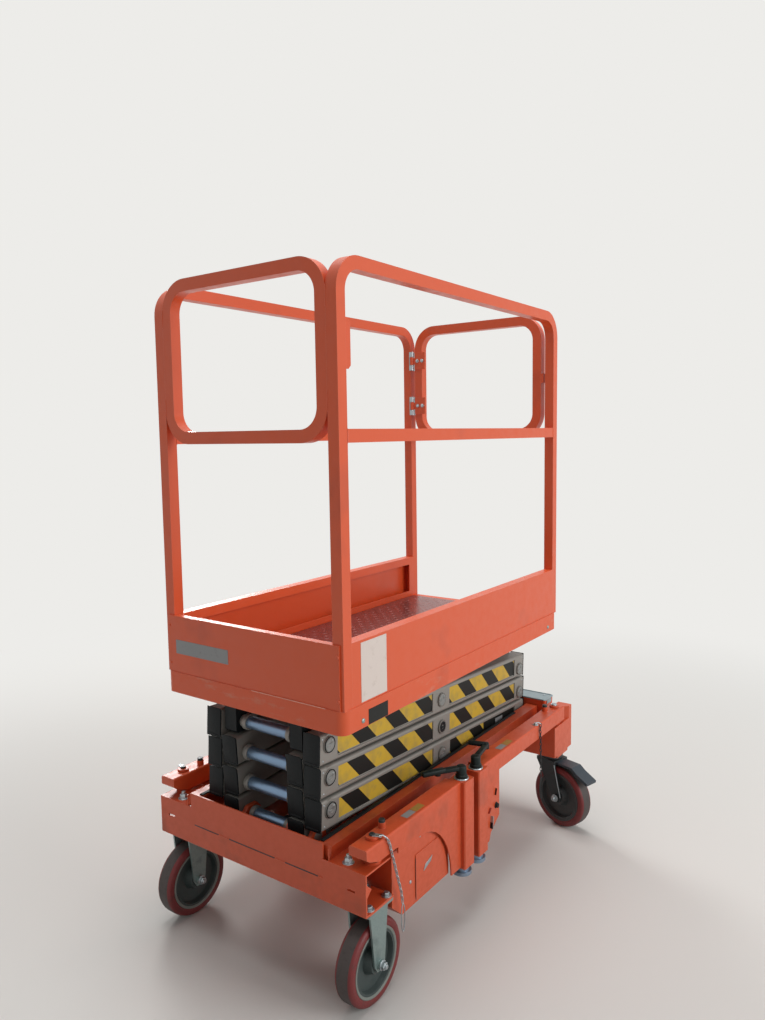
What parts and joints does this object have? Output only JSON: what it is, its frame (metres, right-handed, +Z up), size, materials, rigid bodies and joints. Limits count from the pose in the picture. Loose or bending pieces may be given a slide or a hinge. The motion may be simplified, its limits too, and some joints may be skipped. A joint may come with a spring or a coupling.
{
  "type": "scissor lift",
  "caption": "Push-around scissor lift with a guarded deck, folded scissor stack, steel base on castors and swing-out outriggers",
  "frame": {"origin": "centre of the footprint, on the ground", "axes": "+Z up, +X toward the gate end, +Y to the left side when facing the gate"},
  "size_m": [1.24, 0.9388, 1.692],
  "materials": {
    "orange_paint": "gloss powder coat",
    "arm_grey": "satin powder coat",
    "hazard_yellow": "satin paint with hazard stripes",
    "zinc_steel": "zinc plated",
    "dark_steel": "satin black paint",
    "chrome_rod": "polished",
    "black_plastic": "moulded",
    "lid_grey": "moulded sheet",
    "tread_red": "polyurethane tread",
    "hub_grey": "moulded nylon",
    "deck_steel": "rolled tread plate"
  },
  "bodies": {
    "base": {"base_floor": "orange_paint", "near_beam": "orange_paint", "far_beam": "orange_paint", "base_rails": "orange_paint", "side_cabinets": "orange_paint", "power_box": "orange_paint", "power_box_lid": "lid_grey", "battery_block": "black_plastic", "rigid_fork_right": "zinc_steel", "rigid_fork_left": "zinc_steel"},
    "inner_1": {"inner_arms_1": "arm_grey", "inner_caps_1": "black_plastic"},
    "outer_1": {"outer_arms_1": "hazard_yellow", "outer_caps_1": "black_plastic"},
    "inner_2": {"inner_arms_2": "arm_grey", "inner_caps_2": "black_plastic"},
    "outer_2": {"outer_arms_2": "hazard_yellow", "outer_caps_2": "black_plastic"},
    "inner_3": {"inner_arms_3": "arm_grey", "inner_caps_3": "black_plastic"},
    "outer_3": {"outer_arms_3": "hazard_yellow", "outer_caps_3": "black_plastic"},
    "lift_barrel": {"cylinder_barrel": "dark_steel"},
    "lift_rod": {"cylinder_rod": "chrome_rod"},
    "platform": {"deck_frame": "orange_paint", "deck_tracks": "orange_paint", "deck_lugs": "dark_steel", "deck_plate": "deck_steel", "toe_boards": "orange_paint", "side_rail_right": "orange_paint", "side_rail_left": "orange_paint", "end_loop": "orange_paint", "gate_hinges": "zinc_steel"},
    "gate": {"gate_frame": "orange_paint"},
    "wheel_near_right": {"tyre_near_right": "tread_red", "hub_near_right": "hub_grey"},
    "swivel_right": {"swivel_fork_right": "zinc_steel", "brake_pedal_right": "dark_steel"},
    "wheel_far_right": {"tyre_far_right": "tread_red", "hub_far_right": "hub_grey"},
    "outrigger_near_right": {"outrigger_near_right": "orange_paint", "crank_near_right": "zinc_steel"},
    "jack_near_right": {"jack_screw_near_right": "zinc_steel"},
    "outrigger_far_right": {"outrigger_far_right": "orange_paint", "crank_far_right": "zinc_steel"},
    "jack_far_right": {"jack_screw_far_right": "zinc_steel"},
    "wheel_near_left": {"tyre_near_left": "tread_red", "hub_near_left": "hub_grey"},
    "swivel_left": {"swivel_fork_left": "zinc_steel", "brake_pedal_left": "dark_steel"},
    "wheel_far_left": {"tyre_far_left": "tread_red", "hub_far_left": "hub_grey"},
    "outrigger_near_left": {"outrigger_near_left": "orange_paint", "crank_near_left": "zinc_steel"},
    "jack_near_left": {"jack_screw_near_left": "zinc_steel"},
    "outrigger_far_left": {"outrigger_far_left": "orange_paint", "crank_far_left": "zinc_steel"},
    "jack_far_left": {"jack_screw_far_left": "zinc_steel"}
  },
  "joints": [
    {"name": "lift", "type": "hinge", "parent": "base", "child": "inner_1", "pos_m": [-0.508, 0, 0.344], "axis": [0, -1, 0], "range_deg": [0, 48]},
    {"name": "scissor_1", "type": "hinge", "parent": "inner_1", "child": "outer_1", "pos_m": [0, 0, 0.384], "axis": [0, -1, 0], "range_deg": [-96, 0]},
    {"name": "stage_2", "type": "hinge", "parent": "outer_1", "child": "inner_2", "pos_m": [-0.508, 0, 0.424], "axis": [0, -1, 0], "range_deg": [0, 96]},
    {"name": "scissor_2", "type": "hinge", "parent": "inner_2", "child": "outer_2", "pos_m": [0, 0, 0.464], "axis": [0, -1, 0], "range_deg": [-96, 0]},
    {"name": "stage_3", "type": "hinge", "parent": "outer_2", "child": "inner_3", "pos_m": [-0.508, 0, 0.504], "axis": [0, -1, 0], "range_deg": [0, 96]},
    {"name": "scissor_3", "type": "hinge", "parent": "inner_3", "child": "outer_3", "pos_m": [0, 0, 0.544], "axis": [0, -1, 0], "range_deg": [-96, 0]},
    {"name": "deck_level", "type": "hinge", "parent": "outer_3", "child": "platform", "pos_m": [-0.508, 0, 0.584], "axis": [0, -1, 0], "range_deg": [0, 48]},
    {"name": "barrel_swing", "type": "hinge", "parent": "base", "child": "lift_barrel", "pos_m": [-0.43, 0, 0.284], "axis": [0, -1, 0], "range_deg": [0, 49.68]},
    {"name": "rod_stroke", "type": "slide", "parent": "lift_barrel", "child": "lift_rod", "axis": [0.97, 0, 0.2431], "range_m": [0, 0.0733]},
    {"name": "gate_swing", "type": "hinge", "parent": "platform", "child": "gate", "pos_m": [0.54, 0.255, 1.492], "axis": [0, 0, -1], "range_deg": [0, 90]},
    {"name": "near_wheel_right_spin", "type": "hinge", "parent": "base", "child": "wheel_near_right", "pos_m": [-0.519, -0.305, 0.1], "axis": [0, 1, 0], "continuous": true},
    {"name": "castor_right_swivel", "type": "hinge", "parent": "base", "child": "swivel_right", "pos_m": [0.519, -0.305, 0.23], "axis": [0, 0, 1], "continuous": true},
    {"name": "far_wheel_right_spin", "type": "hinge", "parent": "swivel_right", "child": "wheel_far_right", "pos_m": [0.50604, -0.35122, 0.1], "axis": [0.9629, -0.27, 0], "continuous": true},
    {"name": "outrigger_near_right_swing", "type": "hinge", "parent": "base", "child": "outrigger_near_right", "pos_m": [-0.52, -0.322, 0.374], "axis": [0, 0, -1], "range_deg": [0, 135]},
    {"name": "jack_near_right_stroke", "type": "slide", "parent": "outrigger_near_right", "child": "jack_near_right", "axis": [0, 0, -1], "range_m": [0, 0.136]},
    {"name": "outrigger_far_right_swing", "type": "hinge", "parent": "base", "child": "outrigger_far_right", "pos_m": [0.5, -0.322, 0.374], "axis": [0, 0, 1], "range_deg": [0, 135]},
    {"name": "jack_far_right_stroke", "type": "slide", "parent": "outrigger_far_right", "child": "jack_far_right", "axis": [0, 0, -1], "range_m": [0, 0.136]},
    {"name": "near_wheel_left_spin", "type": "hinge", "parent": "base", "child": "wheel_near_left", "pos_m": [-0.519, 0.305, 0.1], "axis": [0, 1, 0], "continuous": true},
    {"name": "castor_left_swivel", "type": "hinge", "parent": "base", "child": "swivel_left", "pos_m": [0.519, 0.305, 0.23], "axis": [0, 0, 1], "continuous": true},
    {"name": "far_wheel_left_spin", "type": "hinge", "parent": "swivel_left", "child": "wheel_far_left", "pos_m": [0.50604, 0.35122, 0.1], "axis": [-0.9629, -0.27, 0], "continuous": true},
    {"name": "outrigger_near_left_swing", "type": "hinge", "parent": "base", "child": "outrigger_near_left", "pos_m": [-0.52, 0.322, 0.374], "axis": [0, 0, 1], "range_deg": [0, 135]},
    {"name": "jack_near_left_stroke", "type": "slide", "parent": "outrigger_near_left", "child": "jack_near_left", "axis": [0, 0, -1], "range_m": [0, 0.136]},
    {"name": "outrigger_far_left_swing", "type": "hinge", "parent": "base", "child": "outrigger_far_left", "pos_m": [0.5, 0.322, 0.374], "axis": [0, 0, -1], "range_deg": [0, 135]},
    {"name": "jack_far_left_stroke", "type": "slide", "parent": "outrigger_far_left", "child": "jack_far_left", "axis": [0, 0, -1], "range_m": [0, 0.136]}
  ],
  "couplings": [
    {"joint": "scissor_1", "follows": "lift", "ratio": -2},
    {"joint": "stage_2", "follows": "lift", "ratio": 2},
    {"joint": "scissor_2", "follows": "lift", "ratio": -2},
    {"joint": "stage_3", "follows": "lift", "ratio": 2},
    {"joint": "scissor_3", "follows": "lift", "ratio": -2},
    {"joint": "deck_level", "follows": "lift", "ratio": 1},
    {"joint": "barrel_swing", "follows": "lift", "ratio": 1.0345},
    {"joint": "rod_stroke", "follows": "lift", "m_per_rad": 0.08728}
  ]
}
